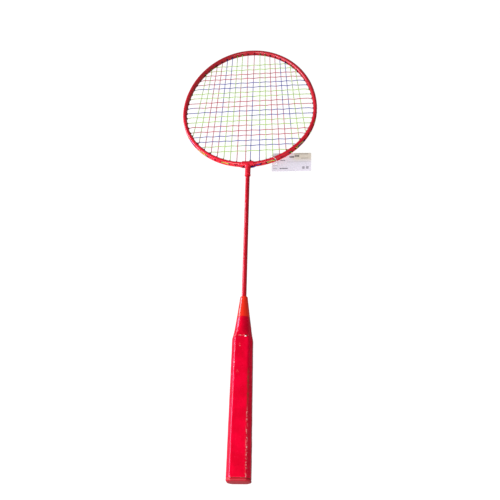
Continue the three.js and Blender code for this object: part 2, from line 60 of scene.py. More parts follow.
def box_mm(node):
    """The lowest and highest corners of a CAD node."""
    low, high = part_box(node)
    return np.array(low) / MM, np.array(high) / MM


HEAD_HIGH = box_mm("head_frame")[1]
JOINT_LOW = box_mm("t_joint")[0]
SHAFT_LOW, SHAFT_HIGH = box_mm("shaft")
CONE_LOW, CONE_HIGH = box_mm("cone_cap")
SLEEVE_LOW, SLEEVE_HIGH = box_mm("grip_sleeve")
CORE_HIGH = box_mm("handle_core")[1]
CAP_HIGH = box_mm("butt_cap")[1]
TACK_LOW, TACK_HIGH = box_mm("grip_tack")
TAG_LOW, TAG_HIGH = box_mm("price_tag")

# Head tube: two half ellipses around the tube's centre line, as in the CAD source
HEAD_LENGTH = 248.0
HEAD_WIDTH = 206.0
THROAT_Y = 422.0
WIDEST_SHARE = 0.458
TUBE_HALF_WIDTH = 3.15
TUBE_HALF_HEIGHT = 4.0
TUBE_ROUNDNESS = 2.4
GROOVE_FLOOR = 0.9
GROOVE_HALF_WIDTH = 2.6
GROOVE_EDGE_ANGLE = 0.68
SEMI_X = HEAD_WIDTH / 2 - TUBE_HALF_WIDTH
SEMI_NEAR = HEAD_LENGTH * WIDEST_SHARE - TUBE_HALF_WIDTH
SEMI_FAR = HEAD_LENGTH * (1 - WIDEST_SHARE) - TUBE_HALF_WIDTH
WIDEST_Y = THROAT_Y + HEAD_LENGTH * WIDEST_SHARE
THROAT_ANGLE = -math.pi / 2

# T-joint and shaft
JOINT_SKIN = 4.25                    # from the tube's centre line to the arm's outer face
JOINT_SKIN_HEIGHT = 5.1
JOINT_HALF_WIDTH = 8.4
STEM_RADIUS = 3.85
COLLAR_RADIUS = 4.2
COLLAR_LENGTH = 1.5
FILLET = 0.9                         # extra radius where the stem meets the arms
JOINT_VOXEL = 0.22                   # size of the remesh that blends stem and arms
SHAFT_WALL = 0.8

# Strings and their holes
STRING_RADIUS = 0.5
STAGGER = 0.65
MAIN_COUNT = 18
MAIN_FIRST_X = {"far": 5.6, "near": 4.9}
MAIN_SECOND_X = {"far": 15.41, "near": 17.24}
MAIN_PITCH = {"far": 8.63, "near": 10.07}
CROSS_COUNT = 19
CROSS_FIRST_Y = 639.4
CROSS_PITCH = 10.65
JOINT_HOLE_TILT = 0.17
WEAVE_HEIGHT = 0.42
MOUTH_SETBACK = 0.9                  # from a grommet's inner end to where the weave starts
STRING_TAIL = 1.4                    # of a string's cut end, outside its last hole
LOOP_BEND = 0.9
LOOP_DIP = 0.85                      # how far a loop sinks into the groove between its holes

# Grommets
GROMMET_BORE = 0.86
GROMMET_RADIUS = 1.2
FLANGE_RADIUS = 2.05
FLANGE_DOME = 0.3
BEAD_RADIUS = 1.55                   # of the rounded end inside the head
FLANGE_THICKNESS = 0.4
GROMMET_PROUD = 0.8
JOINT_GROMMET_PROUD = {"left": 0.8, "right": 3.0}
FIT = 0.3                            # clearance between pieces in the CAD frame

# Grip
GRIP_HALF_THICKNESS = SLEEVE_HIGH[2]
GRIP_HALF_WIDTH_AT_BUTT = SLEEVE_HIGH[0]
GRIP_HALF_WIDTH_AT_CORNER = 11.9
GRIP_CHAMFER_X = 4.4
GRIP_CHAMFER_Z = 5.0
GRIP_CORNER_Y = 156.0
GRIP_WALL = 0.7
CONE_RADIUS_AT_SLEEVE = 8.0
TAPER_RADIUS = 11.6                  # the round section that the octagon turns into
CONE_TOP_RADIUS = 4.6
CONE_SKIRT_RADIUS = 9.6              # the cone's lower end, under the vinyl
CONE_SKIRT_BORE = 8.5
CONE_NECK_BORE = 5.8
BUTT_PEG_RADIUS = 5.0
TACK_PIN_RADIUS = 0.5
SEAM_HIGHLIGHT = 0.6                      # strength of the painted highlight along the shrunk seam below the cone
PIT_COUNT = 150
SPECKS_FADE = (56, 84)               # Y range over which the pale specks fade out
STAIN_RISE = (70, 88)                # Y range over which the stain sets in
STAIN_FADE = (108, 122)
# Spots of painted glints on the grip's upper facet, as (x, y).
GLINT_SPOTS = [(-8.1, 125.9), (-8.6, 121.0), (-4.0, 114.4), (-2.1, 146.3)]

# Price tag and its loop
TAG_WIDTH = 56.0
TAG_HEIGHT = 34.0
TAG_CORNER = 2.0
TAG_TURN = -0.035
TAG_THICKNESS = 0.4
TAG_CURL = 0.72                      # rise of the card's lower right corner
TAG_RIPPLE = 0.096
TAG_HOLE_RADIUS = 1.7
TAG_STEP = 0.35                      # spacing of the card's grid, fine enough for its print
LOOP_SITE_X = 36.1
LOOP_SKEW = 0.44
LOOP_CENTRE_OUT = -0.2
LOOP_HALF_WIDTH = 5.8
LOOP_CENTRE_Z = -0.4
LOOP_HALF_HEIGHT = 6.0
LOOP_ROUNDNESS = 3.0
LOOP_RADIUS = 0.4

# Printed bars on the tag, from its centre: left, right, bottom, top and strength
TAG_BARS = [
    (4.0, 24.0, 14.5, 15.6, 0.7),
    (-3.0, 3.5, 8.0, 11.2, 0.9),
    (4.5, 11.0, 9.6, 13.0, 0.8),
    (13.0, 24.0, 6.2, 7.6, 0.5),
    (-16.0, -9.0, 2.6, 3.8, 0.95),
    (-7.0, 23.0, -0.5, 0.4, 0.4),
    (-26.0, -19.0, -6.7, -5.8, 0.5),
    (-26.0, -20.0, -12.6, -11.7, 0.6),
    (-16.5, -5.0, -12.5, -10.8, 0.95),
    (15.2, 18.6, -13.2, -8.4, 0.7),
    (20.8, 24.2, -13.2, -8.4, 0.7),
    (-6.0, 4.5, -16.2, -15.6, 0.4),
]
BAR_BREAK = 1.6                      # each bar is broken into dashes of this length

# Studio
FLOOR_DROP = 11.0                    # how far the floor lies below the racket's lowest points
FLOOR_GLOW = 0.97                    # whitens the floor for the camera, and lights nothing
FLOOR_DARK = (0.44, 0.44, 0.44, 1)   # the floor as it lights the racket from below
FLOOR_PALE = (0.48, 0.48, 0.48, 1)
FLOOR_MIRRORED = (0.16, 0.16, 0.16, 1)
FLOOR_SEEN = (0.1, 0.1, 0.1, 1)
WORLD_LIGHT = 0.16
WORLD_MIRRORED = 0.03                # the studio as glossy surfaces reflect it
SUBJECT = Vector((0.0, 0.36, 0.0))
CAMERA_PLACE = (64.48, -104.91, 607.59)
CAMERA_TILT = 32.708
CAMERA_YAW = 8.639
CAMERA_ROLL = -8.827
CAMERA_FOCAL_PIXELS = 560.96
FRAME_PIXELS = 500


# ------ mesh helpers

def srgb(red, green, blue):
    """The linear colour of an 8-bit screen colour, with an alpha of 1."""
    def linear(value):
        share = value / 255
        return share / 12.92 if share <= 0.04045 else ((share + 0.055) / 1.055) ** 2.4
    return (linear(red), linear(green), linear(blue), 1.0)


def smoothstep(low, high, value):
    """0 up to low, 1 from high, and a smooth rise between them."""
    share = np.clip((np.asarray(value, float) - low) / (high - low), 0, 1)
    return share * share * (3 - 2 * share)


def make_piece(name, points, faces, sharp_degrees=40):
    """A smooth-shaded mesh object from millimetre points. Its faces are turned outward."""
    mesh = bpy.data.meshes.new(name)
    mesh.from_pydata((np.asarray(points) * MM).tolist(), [], faces)
    work = bmesh.new()
    work.from_mesh(mesh)
    bmesh.ops.recalc_face_normals(work, faces=work.faces)
    work.to_mesh(mesh)
    work.free()
    mesh.polygons.foreach_set("use_smooth", [True] * len(mesh.polygons))
    mesh.set_sharp_from_angle(angle=math.radians(sharp_degrees))
    piece = bpy.data.objects.new(name, mesh)
    bpy.context.scene.collection.objects.link(piece)
    return piece


def skin(rings, closed=False, first=0):
    """Faces over rings of points. The last ring is joined to the first, or both are capped."""
    count, around = rings.shape[:2]
    index = np.arange(count * around).reshape(count, around) + first
    beside = np.roll(index, -1, axis=1)
    above = np.roll(index, -1, axis=0)
    both = np.roll(beside, -1, axis=0)
    rows = count if closed else count - 1
    faces = np.stack([index, beside, both, above], axis=-1)[:rows].reshape(-1, 4).tolist()
    if not closed:
        faces.append(index[0].tolist())
        faces.append(index[-1].tolist())
    return faces


def ring_piece(name, rings, closed=False, sharp_degrees=40):
    """A mesh object skinned over rings of points."""
    rings = np.asarray(rings, float)
    return make_piece(name, rings.reshape(-1, 3), skin(rings, closed), sharp_degrees)


def full_turn(sides):
    """Angles of evenly spaced points round a circle."""
    return np.arange(sides) * 2 * math.pi / sides


def turned_rings(profile, sides):
    """Rings of a solid of revolution about the Y axis, from (radius, y) pairs."""
    return np.array([
        [(radius * math.cos(t), y, radius * math.sin(t)) for t in full_turn(sides)]
        for radius, y in profile])


def add_values(piece, name, values):
    """Stores one number per point for a material to read."""
    attribute = piece.data.attributes.new(name, "FLOAT", "POINT")
    attribute.data.foreach_set("value", np.asarray(values, np.float32))


def fit_in(piece, body, slot, material, *nodes):
    """Puts the piece on its body, gives it a finish, and hides the CAD nodes it stands for."""
    piece.data.materials.append(material)
    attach(piece, body)
    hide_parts(*nodes)
    return piece


def soft_noise(points, scale, seed):
    """Smooth noise of about -1 to 1 at each point, from a sum of seeded sine waves."""
    waves = np.random.default_rng(seed)
    total = np.zeros(len(points))
    weight = 0.0
    for octave in range(2):
        for _ in range(8):
            direction = waves.normal(size=3)
            direction /= np.linalg.norm(direction)
            phase = waves.uniform(0, 2 * math.pi)
            size = 0.6 ** octave
            turns = 2 * math.pi / scale * 1.9 ** octave * waves.uniform(0.7, 1.3)
            total += size * np.sin(points @ direction * turns + phase)
            weight += size
    return total / weight * 2.2


# ------ material helpers

class Shader:
    """A node material with one Principled shader, and short calls that add nodes to it."""

    def __init__(self, name, roughness=0.5, metallic=0.0, coat=0.0, shine=0.5):
        self.material = bpy.data.materials.new(name)
        self.material.use_nodes = True
        self.tree = self.material.node_tree
        self.surface = self.tree.nodes["Principled BSDF"]
        self.finish("Roughness", roughness)
        self.finish("Metallic", metallic)
        self.finish("Coat Weight", coat)
        self.finish("Coat Roughness", 0.12)
        self.finish("Specular IOR Level", shine)
        self.place = self.node("ShaderNodeTexCoord").outputs["Object"]

    def join(self, source, target):
        """Sets an input to a plain value, or links a node's output to it."""
        if isinstance(source, (int, float, tuple)):
            target.default_value = source
        else:
            self.tree.links.new(source, target)

    def node(self, kind, inputs=None, **settings):
        """Adds a node with its settings and with what goes into its inputs."""
        made = self.tree.nodes.new(kind)
        for key, value in settings.items():
            setattr(made, key, value)
        for key, source in (inputs or {}).items():
            self.join(source, made.inputs[key])
        return made

    def finish(self, name, source):
        """Gives the surface one of its properties."""
        self.join(source, self.surface.inputs[name])

    def sheen(self, pattern, low, high):
        """Lets the roughness drift from low to high with a pattern."""
        self.finish("Roughness", self.ramp(pattern, 0.3, 0.7, low, high))

    def bump(self, height, depth_mm):
        """Roughens the surface by a height of 0 to 1, scaled to a depth."""
        made = self.node("ShaderNodeBump", {"Distance": depth_mm * MM, "Height": height})
        self.finish("Normal", made.outputs["Normal"])

    def noise(self, size_mm, detail=3.0, rough=0.55, stretch=(1, 1, 1)):
        """Noise of a given size. A stretch under 1 draws it out along that axis."""
        scaled = self.node("ShaderNodeMapping", {"Vector": self.place, "Scale": stretch})
        made = self.node("ShaderNodeTexNoise", {
            "Vector": scaled.outputs["Vector"], "Scale": 1 / (size_mm * MM),
            "Detail": detail, "Roughness": rough})
        return made.outputs["Fac"]

    def spots(self, size_mm):
        """Distance to the nearest of many scattered points, as a share of their spacing."""
        made = self.node(
            "ShaderNodeTexVoronoi", {"Vector": self.place, "Scale": 1 / (size_mm * MM)})
        return made.outputs["Distance"]

    def values(self, name):
        """The numbers that add_values stored on the mesh."""
        return self.node("ShaderNodeAttribute", attribute_name=name).outputs["Fac"]

    def math(self, operation, first, second):
        made = self.node("ShaderNodeMath", {0: first, 1: second}, operation=operation)
        return made.outputs["Value"]

    def ramp(self, source, low, high, to_low=0.0, to_high=1.0):
        """A smooth rise from one level to another as the source goes from low to high."""
        limits = {"From Min": low, "From Max": high, "To Min": to_low, "To Max": to_high}
        made = self.node(
            "ShaderNodeMapRange", {"Value": source, **limits}, interpolation_type="SMOOTHSTEP")
        return made.outputs["Result"]

    def mix(self, share, first, second):
        """The first colour where the share is 0, and the second where it is 1."""
        made = self.node(
            "ShaderNodeMix", {"Factor": share, "A": first, "B": second}, data_type="RGBA")
        return made.outputs["Result"]


# ------ materials

def red_enamel(name, fresh, deep):
    """Glossy red paint on steel, with orange-brown patches on the groove's edges for worn paint
    and a painted highlight, and darkened towards the tip by painted shade.
    """
    paint = Shader(name, coat=0.35, shine=0.35)
    drift = paint.ramp(paint.noise(22), 0.35, 0.7)
    body = paint.mix(drift, fresh, deep)
    # Orange-brown patches on the groove's lips: worn paint and a painted highlight along the lips.
    grit = paint.noise(0.5, detail=4)
    worn_and_highlit = paint.math("MULTIPLY", paint.values("lip"), paint.ramp(grit, 0.42, 0.62))
    patchy = paint.math("MULTIPLY", worn_and_highlit, paint.ramp(paint.noise(9), 0.4, 0.62))
    # Painted shade: the paint darkens towards the tip, where the far arc is less lit.
    reach = paint.node("ShaderNodeSeparateXYZ", {"Vector": paint.place})
    painted_tip_shade = paint.ramp(reach.outputs["Y"], 0.46, 0.62, 0.0, 0.75)
    body = paint.mix(painted_tip_shade, body, srgb(174, 47, 53))
    paint.finish("Base Color", paint.mix(patchy, body, srgb(205, 106, 62)))
    paint.sheen(paint.noise(3), 0.2, 0.34)
    paint.bump(paint.noise(1.1, detail=2), 0.02)
    return paint.material


def orange_cone_plastic():
    """Moulded orange-red plastic, with faint flow marks along its length."""
    plastic = Shader("orange_cone_plastic", coat=0.6, shine=0.35)
    flow = plastic.noise(3, stretch=(1, 0.12, 1))
    shade = plastic.mix(plastic.ramp(flow, 0.35, 0.65), srgb(255, 54, 30), srgb(246, 46, 26))
    plastic.finish("Base Color", shade)
    plastic.sheen(flow, 0.14, 0.24)
    plastic.bump(plastic.noise(0.7), 0.015)
    return plastic.material


def crimson_vinyl():
    """Glossy crimson vinyl with small pits darkened as painted shade, brown stains, and pale
    specks, partly painted highlights.
    """
    vinyl = Shader("crimson_vinyl", coat=0.35, shine=0.35)
    vinyl.finish("Specular Tint", (1.0, 0.45, 1.0, 1.0))
    drift = vinyl.ramp(vinyl.noise(14), 0.35, 0.65)
    body = vinyl.mix(drift, srgb(231, 0, 46), srgb(215, 0, 38))
    pits = vinyl.ramp(vinyl.spots(2.6), 0.02, 0.16)
    # Painted shade: the pits are coloured darker than the vinyl around them.
    pits_shaded = vinyl.mix(pits, srgb(150, 0, 24), body)
    # Pale specks: some on the edge near the butt, and painted highlights on the seam and at the
    # glint spots.
    speck = vinyl.ramp(vinyl.noise(1.6, detail=5, rough=0.7), 0.52, 0.6)
    worn_and_highlit = vinyl.math("MULTIPLY", speck, vinyl.values("wear_and_highlights"))
    stained = vinyl.math("MULTIPLY", vinyl.values("stain"), vinyl.ramp(vinyl.noise(3), 0.3, 0.6))
    brown = vinyl.mix(stained, pits_shaded, srgb(150, 66, 40))
    vinyl.finish("Base Color", vinyl.mix(worn_and_highlit, brown, srgb(255, 222, 214)))
    vinyl.sheen(vinyl.noise(2.2), 0.16, 0.28)
    grain = vinyl.math("ADD", vinyl.noise(0.8), vinyl.math("MULTIPLY", pits, 0.9))
    vinyl.bump(grain, 0.06)
    return vinyl.material


def cap_plastic():
    """Satin crimson plastic of the butt cap, with fine moulding grain."""
    plastic = Shader("cap_plastic", coat=0.15)
    plastic.finish("Base Color", plastic.mix(plastic.noise(6), srgb(196, 6, 36), srgb(170, 4, 28)))
    plastic.sheen(plastic.noise(1.5), 0.38, 0.52)
    plastic.bump(plastic.noise(0.35), 0.03)
    return plastic.material


def black_nylon():
    """Black moulded nylon, slightly waxy."""
    nylon = Shader("black_nylon")
    nylon.finish("Base Color", nylon.mix(nylon.noise(0.6), srgb(12, 12, 14), srgb(28, 28, 30)))
    nylon.sheen(nylon.noise(0.4), 0.35, 0.55)
    nylon.bump(nylon.noise(0.2), 0.01)
    return nylon.material


def bright_tack_steel():
    """Plated steel with fine scratches."""
    steel = Shader("bright_tack_steel", metallic=1.0)
    shade = steel.mix(steel.noise(0.3), srgb(226, 216, 206), srgb(190, 182, 172))
    steel.finish("Base Color", shade)
    steel.sheen(steel.noise(0.2, stretch=(1, 6, 1)), 0.18, 0.36)
    return steel.material


def bare_wood():
    """Pale softwood with grain along the handle."""
    wood = Shader("bare_wood", roughness=0.75)
    grain = wood.noise(2.2, detail=5, stretch=(1, 0.06, 1))
    shade = wood.mix(wood.ramp(grain, 0.35, 0.65), srgb(214, 176, 122), srgb(168, 122, 74))
    wood.finish("Base Color", shade)
    wood.bump(grain, 0.08)
    return wood.material


def dyed_nylon(name, first_red, red, blue, lime):
    """String dyed in lengths: lime up to first_red, then red, blue and lime in turn.

    The dyes run a little into each other. Lengths are in millimetres along the string.
    """
    nylon = Shader(name, coat=0.1, shine=0.3)
    period = red + blue + lime
    bleed = 16.0
    ragged = nylon.math("MULTIPLY", nylon.math("SUBTRACT", nylon.noise(7), 0.5), 24.0)
    along = nylon.math("ADD", nylon.values("along"), ragged)
    shifted = nylon.math("ADD", nylon.math("SUBTRACT", along, first_red), 4 * period)
    turn = nylon.math("MODULO", shifted, period)
    to_blue = nylon.ramp(turn, red - bleed, red + bleed)
    to_lime = nylon.ramp(turn, red + blue - bleed, red + blue + bleed)
    to_red = nylon.ramp(turn, period - 2 * bleed, period)
    crimson, navy, lime_green = srgb(200, 0, 70), srgb(18, 34, 172), srgb(176, 226, 84)
    dye = nylon.mix(to_blue, crimson, navy)
    dye = nylon.mix(to_lime, dye, lime_green)
    dye = nylon.mix(to_red, dye, crimson)
    # Painted highlights: near-white streaks along the string.
    painted_highlight_streaks = nylon.ramp(nylon.noise(2.4), 0.5, 0.8, 0.0, 0.2)
    nylon.finish("Base Color", nylon.mix(painted_highlight_streaks, dye, srgb(236, 236, 226)))
    nylon.sheen(nylon.noise(1.0), 0.3, 0.5)
    nylon.bump(nylon.noise(0.5), 0.02)
    return nylon.material


def tag_paper():
    """White coated card, slightly lavender, with grey bars and fine fibres, and a faint glow of
    its own as painted light.
    """
    paper = Shader("tag_paper", roughness=0.6)
    stock = paper.mix(paper.noise(5), srgb(246, 243, 252), srgb(236, 232, 245))
    stock = paper.mix(paper.values("warm"), stock, srgb(236, 226, 210))
    fibre = paper.noise(0.5, detail=5)
    faded = paper.math("MULTIPLY", paper.values("ink"), paper.ramp(fibre, 0.2, 0.6, 0.7, 1.0))
    printed = paper.mix(faded, stock, srgb(46, 43, 54))
    paper.finish("Base Color", printed)
    # Painted light: the card glows faintly in its own colours, though it is no lamp.
    paper.finish("Emission Color", printed)
    paper.finish("Emission Strength", 0.12)
    paper.bump(fibre, 0.01)
    return paper.material


def loop_nylon():
    """Cloudy white nylon."""
    nylon = Shader("loop_nylon", roughness=0.35, coat=0.2)
    shade = nylon.mix(nylon.noise(1.5), srgb(250, 242, 236), srgb(232, 222, 214))
    nylon.finish("Base Color", shade)
    nylon.finish("Transmission Weight", 0.25)
    nylon.bump(nylon.noise(0.6), 0.01)
    return nylon.material


# ------ the head's centre line

def semi_y(angle):
    """The half ellipse's reach along Y, on the side that the angle is on."""
    return SEMI_NEAR if math.sin(angle) < 0 else SEMI_FAR


def head_normal(angle):
    """The outward direction at an angle on the head."""
    normal = np.array([math.cos(angle) / SEMI_X, math.sin(angle) / semi_y(angle), 0.0])
    return normal / np.linalg.norm(normal)


def head_point(angle, outward=0.0, z=0.0):
    """A point of the tube's centre line, or one beside it."""
    centre = np.array([
        SEMI_X * math.cos(angle), WIDEST_Y + semi_y(angle) * math.sin(angle), z])
    return centre + head_normal(angle) * outward


def power_wave(value, roundness=TUBE_ROUNDNESS):
    """A circle's sine or cosine, squared off for a superellipse."""
    return math.copysign(abs(value) ** (2 / roundness), value)


def round_corners(points, passes):
    """Cuts the corners of a closed outline, again and again."""
    points = np.asarray(points, float)
    for _ in range(passes):
        after = np.roll(points, -1, axis=0)
        points = np.stack([points * 0.75 + after * 0.25, points * 0.25 + after * 0.75], 1)
        points = points.reshape(-1, 2)
    return points


# ------ head tube

def tube_outline():
    """The grooved section as (outward, z) points, with a rolled lip on each groove edge."""
    points = []
    steps = 30
    for i in range(steps + 1):
        angle = GROOVE_EDGE_ANGLE + (2 * math.pi - 2 * GROOVE_EDGE_ANGLE) * i / steps
        points.append((
            TUBE_HALF_WIDTH * power_wave(math.cos(angle)),
            TUBE_HALF_HEIGHT * power_wave(math.sin(angle))))
    lip_out, lip_z = points[0]
    wall = [(lip_out - 0.35, -lip_z + 0.35), (GROOVE_FLOOR + 0.4, -GROOVE_HALF_WIDTH)]
    floor = [(GROOVE_FLOOR, -GROOVE_HALF_WIDTH + 0.4), (GROOVE_FLOOR, 0.0)]
    half = wall + floor
    points += half + [(out, -z) for out, z in reversed(half[:-1])]
    return round_corners(points, 2)


def make_head_tube(paint):
    """The bent tube, slightly uneven, with its groove's lips marked for the worn paint and the
    painted highlight.
    """
    outline = tube_outline()
    half_gap = 0.006
    angles = np.linspace(THROAT_ANGLE + half_gap, THROAT_ANGLE + 2 * math.pi - half_gap, 361)
    outward = np.array([
        [head_normal(angle) * out + UP * z for out, z in outline] for angle in angles])
    rings = np.array([[head_point(angle)] for angle in angles]) + outward
    points = rings.reshape(-1, 3)
    outward = outward.reshape(-1, 3)
    outward /= np.linalg.norm(outward, axis=1)[:, None]
    points = points + outward * (soft_noise(points, 26, 3) * 0.07)[:, None]
    tube = ring_piece("head_tube", points.reshape(rings.shape), sharp_degrees=60)
    lip_height = TUBE_HALF_HEIGHT * power_wave(math.sin(GROOVE_EDGE_ANGLE))
    near_lip = np.exp(-((np.abs(outline[:, 1]) - lip_height) / 0.45) ** 2)
    lip = near_lip * (outline[:, 0] > 0.5 * TUBE_HALF_WIDTH)
    add_values(tube, "lip", np.tile(lip, len(angles)))
    return fit_in(tube, "racket", "red_paint", paint, "head_frame")


# ------ T-joint

def make_t_joint(paint):
    """A cast saddle around the tube, blended into its stem by a voxel remesh."""
    reach = math.asin(JOINT_HALF_WIDTH / SEMI_X)
    arms = np.array([
        [head_point(angle)
         + head_normal(angle) * JOINT_SKIN * power_wave(math.cos(t))
         + UP * JOINT_SKIN_HEIGHT * power_wave(math.sin(t)) for t in full_turn(48)]
        for angle in np.linspace(THROAT_ANGLE - reach, THROAT_ANGLE + reach, 25)])
    bottom = JOINT_LOW[1]
    stem = turned_rings([
        (COLLAR_RADIUS - 0.25, bottom), (COLLAR_RADIUS, bottom + 0.25),
        (COLLAR_RADIUS, bottom + COLLAR_LENGTH), (STEM_RADIUS, bottom + COLLAR_LENGTH + 0.5),
        (STEM_RADIUS, THROAT_Y - 4), (STEM_RADIUS + FILLET, THROAT_Y - 1),
        (STEM_RADIUS + FILLET, THROAT_Y + 1)], 48)
    points = np.concatenate([arms.reshape(-1, 3), stem.reshape(-1, 3)])
    faces = skin(arms) + skin(stem, first=arms.size // 3)
    joint = make_piece("t_joint_shell", points, faces, 50)
    remesh = joint.modifiers.new("blend", "REMESH")
    remesh.mode = "VOXEL"
    remesh.voxel_size = JOINT_VOXEL * MM
    smooth = joint.modifiers.new("soften", "SMOOTH")
    smooth.factor = 0.5
    smooth.iterations = 6
    apply_modifiers(joint)
    add_values(joint, "lip", np.zeros(len(joint.data.vertices)))
    return fit_in(joint, "racket", "red_paint", paint, "t_joint")


def apply_modifiers(piece):
    """Replaces the piece's mesh with what its modifiers make of it."""
    graph = bpy.context.evaluated_depsgraph_get()
    mesh = bpy.data.meshes.new_from_object(piece.evaluated_get(graph))
    piece.modifiers.clear()
    piece.data = mesh
    mesh.polygons.foreach_set("use_smooth", [True] * len(mesh.polygons))


# ------ shaft and cone

def make_shaft(paint):
    """A plain tube, in rings close enough for the paint's noise."""
    radius = SHAFT_HIGH[0]
    bore = radius - SHAFT_WALL
    stations = np.linspace(SHAFT_LOW[1], SHAFT_HIGH[1], 90)
    profile = [(radius, y) for y in stations] + [(bore, y) for y in stations[::-1]]
    shaft = ring_piece("shaft_tube", turned_rings(profile, 48), closed=True)
    add_values(shaft, "lip", np.zeros(len(shaft.data.vertices)))
    return fit_in(shaft, "racket", "red_paint", paint, "shaft")


def make_cone(plastic):
    """A hollow cone with a rounded top lip and a skirt that goes under the vinyl."""
    top = CONE_HIGH[1]
    lap = SLEEVE_HIGH[1]
    bore = SHAFT_HIGH[0] + FIT
    lip = 0.5
    profile = [(bore, top - lip * 1.2)]
    profile += [
        (CONE_TOP_RADIUS - lip + lip * math.sin(t), top - lip + lip * math.cos(t))
        for t in np.linspace(0, math.pi / 2, 8)]
    profile += [
        (CONE_TOP_RADIUS + (CONE_RADIUS_AT_SLEEVE - CONE_TOP_RADIUS) * s, top - lip
         + (lap - top + lip) * s) for s in np.linspace(0.04, 1, 24)]
    profile += [
        (CONE_RADIUS_AT_SLEEVE - 1.2, lap - 0.1), (CONE_SKIRT_RADIUS, CONE_LOW[1]),
        (CONE_SKIRT_BORE, CONE_LOW[1]), (CONE_NECK_BORE, CORE_HIGH[1] + FIT),
        (bore, CORE_HIGH[1] + FIT)]
    cone = ring_piece("cone_shell", turned_rings(profile, 96), closed=True)
    return fit_in(cone, "racket", "orange_plastic", plastic, "cone_cap")


# ------ grip

def octagon(half_width, half_thickness, chamfer_x, chamfer_z, per_side, rounding):
    """Points of a flattened octagon in (x, z), with rounded corners."""
    flat_x = half_width - chamfer_x
    flat_z = half_thickness - chamfer_z
    half = np.array([
        (half_width, -flat_z), (half_width, flat_z), (flat_x, half_thickness),
        (-flat_x, half_thickness)])
    corners = np.concatenate([half, -half])
    points = []
    for i, corner in enumerate(corners):
        before = corners[i - 1]
        after = corners[(i + 1) % len(corners)]
        ahead = (after - corner) / np.linalg.norm(after - corner) * rounding
        start = corner + (before - corner) / np.linalg.norm(before - corner) * rounding
        end = corner + ahead
        stop = after - ahead
        for s in np.linspace(0, 1, 6):
            points.append((1 - s) ** 2 * start + 2 * s * (1 - s) * corner + s * s * end)
        for s in np.linspace(0, 1, per_side + 2)[1:-1]:
            points.append(end * (1 - s) + stop * s)
    return np.array(points)


def grip_half_width(y):
    """Half the grip's width, which shrinks from the butt to the corner below the cone."""
    ends = (SLEEVE_LOW[1], GRIP_CORNER_Y)
    return np.interp(y, ends, (GRIP_HALF_WIDTH_AT_BUTT, GRIP_HALF_WIDTH_AT_CORNER))


def grip_section(y, inset=0.0):
    """The grip's outline at a length along it: an octagon that turns round towards the cone."""
    points = octagon(
        grip_half_width(y) - inset, GRIP_HALF_THICKNESS - inset, GRIP_CHAMFER_X - inset * 0.4,
        GRIP_CHAMFER_Z - inset * 0.4, per_side=14, rounding=1.3)
    taper = np.clip((y - GRIP_CORNER_Y) / (SLEEVE_HIGH[1] - GRIP_CORNER_Y), 0, 1)
    turned = smoothstep(0, 0.5, taper)
    directions = points / np.linalg.norm(points, axis=1)[:, None]
    rounded = points * (1 - turned) + directions * (TAPER_RADIUS - inset) * turned
    return rounded * (1 - taper) + directions * (CONE_RADIUS_AT_SLEEVE - inset) * taper


def dent(points, normals, centre, radius, depth):
    """Pushes points near a centre inward, in a soft round dent."""
    distance = np.linalg.norm(points - centre, axis=1)
    fall = np.clip(1 - (distance / radius) ** 2, 0, 1) ** 2
    return points - normals * (fall * depth)[:, None]


def grip_surface(stations):
    """Rings of the grip's outer face: pressed by hand, puckered at its corner, and pitted."""
    rings = np.array([[(x, y, z) for x, z in grip_section(y)] for y in stations])
    points = rings.reshape(-1, 3)
    normals = points * np.array([1.0, 0.0, 1.0])
    normals /= np.linalg.norm(normals, axis=1)[:, None]
    y = points[:, 1]

    # Hand-pressed unevenness, and a puckered band where the film is shrunk onto the corner
    points = points + normals * (soft_noise(points, 17, 11) * 0.09)[:, None]
    band = np.exp(-((y - GRIP_CORNER_Y - 6) / 9.0) ** 2)
    points = points + normals * (soft_noise(points, 4.5, 12) * 0.1 * band)[:, None]
    seam = np.exp(-((y - GRIP_CORNER_Y - 2.0 - soft_noise(points, 9, 13) * 0.3) / 0.55) ** 2)
    points = points - normals * (seam * 0.28)[:, None]

    # Scattered pits
    for pick in chance.integers(0, len(points), PIT_COUNT):
        points = dent(
            points, normals, points[pick], chance.uniform(0.8, 1.9), chance.uniform(0.08, 0.24))

    # The ends turn in over the edges of the film and of the vinyl
    edge = np.minimum(y - stations[0], stations[-1] - y)
    points = points - normals * (0.3 * (1 - smoothstep(0, 0.7, edge)))[:, None]
    return points.reshape(rings.shape)


def grip_wear_and_highlights(rings):
    """Shares of pale specks and of brown stain, on the right edge of the upper facet.

    The specks lie nearer the butt; painted highlights lie on the seam below the cone and at a few
    glint spots.
    """
    ring_y = rings[:, :, 1]
    upper = rings[:, :, 2] > 0
    from_edge = rings[:, :, 0] - grip_half_width(ring_y) + GRIP_CHAMFER_X
    wear_and_highlights = np.exp(-(from_edge / 0.75) ** 2) * upper * (1 - smoothstep(*SPECKS_FADE, ring_y))
    stain = np.exp(-((from_edge - 0.5) / 0.8) ** 2) * upper
    stain *= smoothstep(*STAIN_RISE, ring_y) * (1 - smoothstep(*STAIN_FADE, ring_y))
    # Painted highlight along the seam below the cone.
    seam_highlight = np.exp(-((ring_y - GRIP_CORNER_Y - 2.4) / 0.5) ** 2) * upper
    wear_and_highlights = np.maximum(wear_and_highlights, SEAM_HIGHLIGHT * seam_highlight)
    # Painted glints at the glint spots.
    for x, y in GLINT_SPOTS:
        place = np.hypot(rings[:, :, 0] - x, (rings[:, :, 1] - y) * 0.45)
        wear_and_highlights = np.maximum(wear_and_highlights, (1 - smoothstep(0.3, 1.1, place)) * upper)
    return wear_and_highlights, stain


